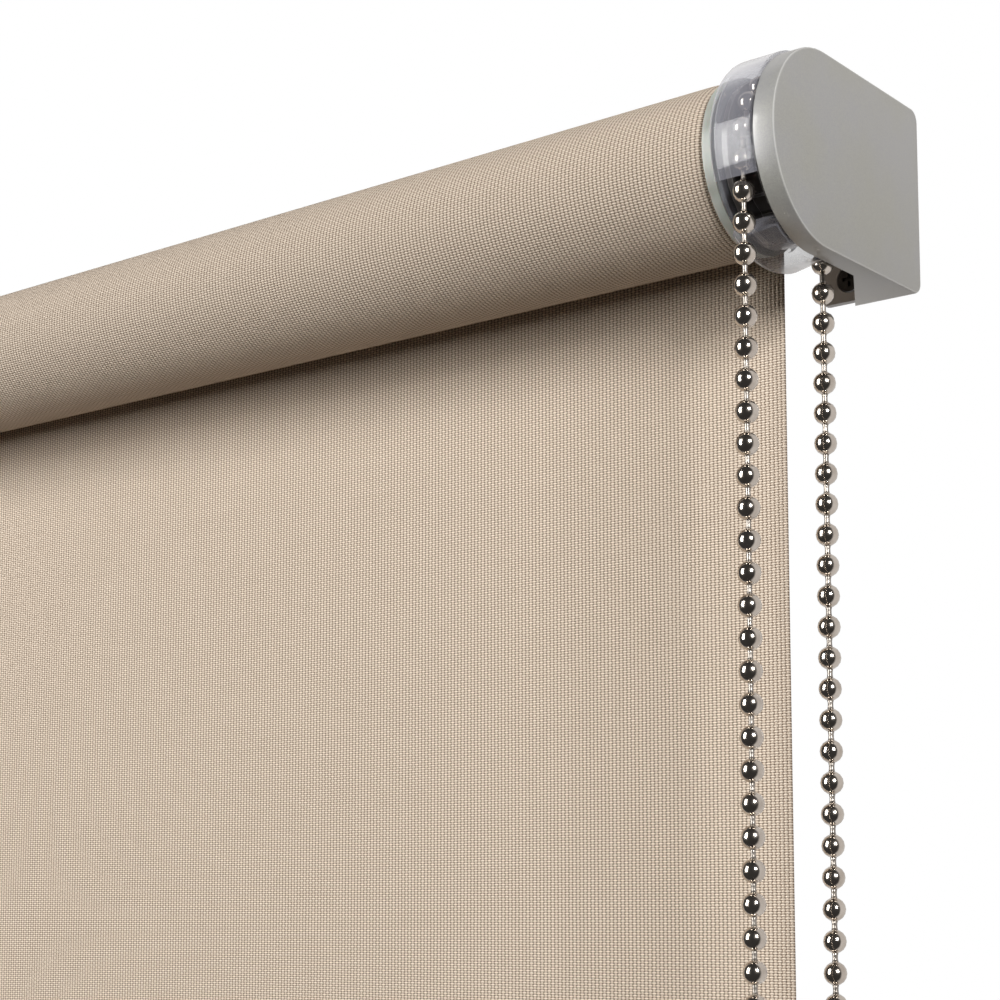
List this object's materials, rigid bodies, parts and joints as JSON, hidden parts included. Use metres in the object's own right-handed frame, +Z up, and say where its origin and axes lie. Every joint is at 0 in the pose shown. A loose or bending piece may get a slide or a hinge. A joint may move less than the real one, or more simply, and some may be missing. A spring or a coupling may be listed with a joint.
{
  "type": "roller blind",
  "caption": "Chain-operated roller blind: cloth on a tube between two covered wall brackets, with a bottom bar and a bead-chain loop.",
  "frame": {"origin": "centre of the control bracket's wall face", "axes": "+X along the roll, from the idle end to the control end; +Y into the wall; +Z up"},
  "size_m": [0.6, 0.0578, 0.5018],
  "materials": {
    "dark_steel": "dark grey coated steel",
    "silver_plastic": "satin silver-grey with fine metallic speckle",
    "black_screw": "black coated",
    "clear_plastic": "clear, slightly frosted",
    "smoke_plastic": "dark smoke",
    "black_nylon": "moulded",
    "pale_acetal": "pale grey-green, slightly translucent",
    "spring_steel": "bright",
    "tube_aluminium": "mill finish",
    "cloth": "latte plain weave",
    "anodised_aluminium": "satin anodised",
    "retaining_cord": "extruded",
    "nickel": "polished nickel"
  },
  "bodies": {
    "brackets": {"control_bracket": "dark_steel", "control_cover": "silver_plastic", "control_wall_screw_upper": "black_screw", "control_wall_screw_lower": "black_screw", "clutch_hub": "black_nylon", "hub_screw": "spring_steel", "chain_guard": "clear_plastic", "chain_on_wheel": "nickel", "bead_chain": "nickel", "hanging_fabric": "cloth", "idle_bracket": "dark_steel", "idle_cover": "silver_plastic", "idle_wall_screw_upper": "black_screw", "idle_wall_screw_lower": "black_screw", "idle_bush": "black_nylon", "idle_spring": "spring_steel"},
    "roller": {"roller_tube": "tube_aluminium", "wound_fabric": "cloth", "chain_wheel": "smoke_plastic", "drive_drum": "pale_acetal", "brake_spring_1": "spring_steel", "brake_spring_2": "spring_steel", "idle_plug": "pale_acetal"},
    "bottom_bar": {"bottom_bar": "anodised_aluminium", "bar_cord": "retaining_cord", "bar_cap_left": "silver_plastic", "bar_cap_right": "silver_plastic"},
    "idle_pin": {"idle_pin": "spring_steel"},
    "chain_joiner": {"chain_joiner": "clear_plastic"}
  },
  "joints": [
    {"name": "roller_turn", "type": "hinge", "parent": "brackets", "child": "roller", "pos_m": [-0.3, -0.038, 0], "axis": [1, 0, 0], "range_deg": [0, 1440]},
    {"name": "bottom_bar_lift", "type": "slide", "parent": "brackets", "child": "bottom_bar", "axis": [0, 0, 1], "range_m": [0, 0.44], "deforming": ["hanging_fabric"]},
    {"name": "chain_joiner_lift", "type": "slide", "parent": "brackets", "child": "chain_joiner", "axis": [0, 0, 1], "range_m": [0, 0.363]},
    {"name": "idle_pin_slide", "type": "slide", "parent": "brackets", "child": "idle_pin", "axis": [1, 0, 0], "range_m": [0, 0.006], "stiffness_N_per_m": 300, "springref_m": -0.004, "deforming": ["idle_spring"]}
  ],
  "couplings": [
    {"joint": "bottom_bar_lift", "follows": "roller_turn", "m_per_rad": 0.0175},
    {"joint": "chain_joiner_lift", "follows": "roller_turn", "m_per_rad": 0.01443}
  ]
}
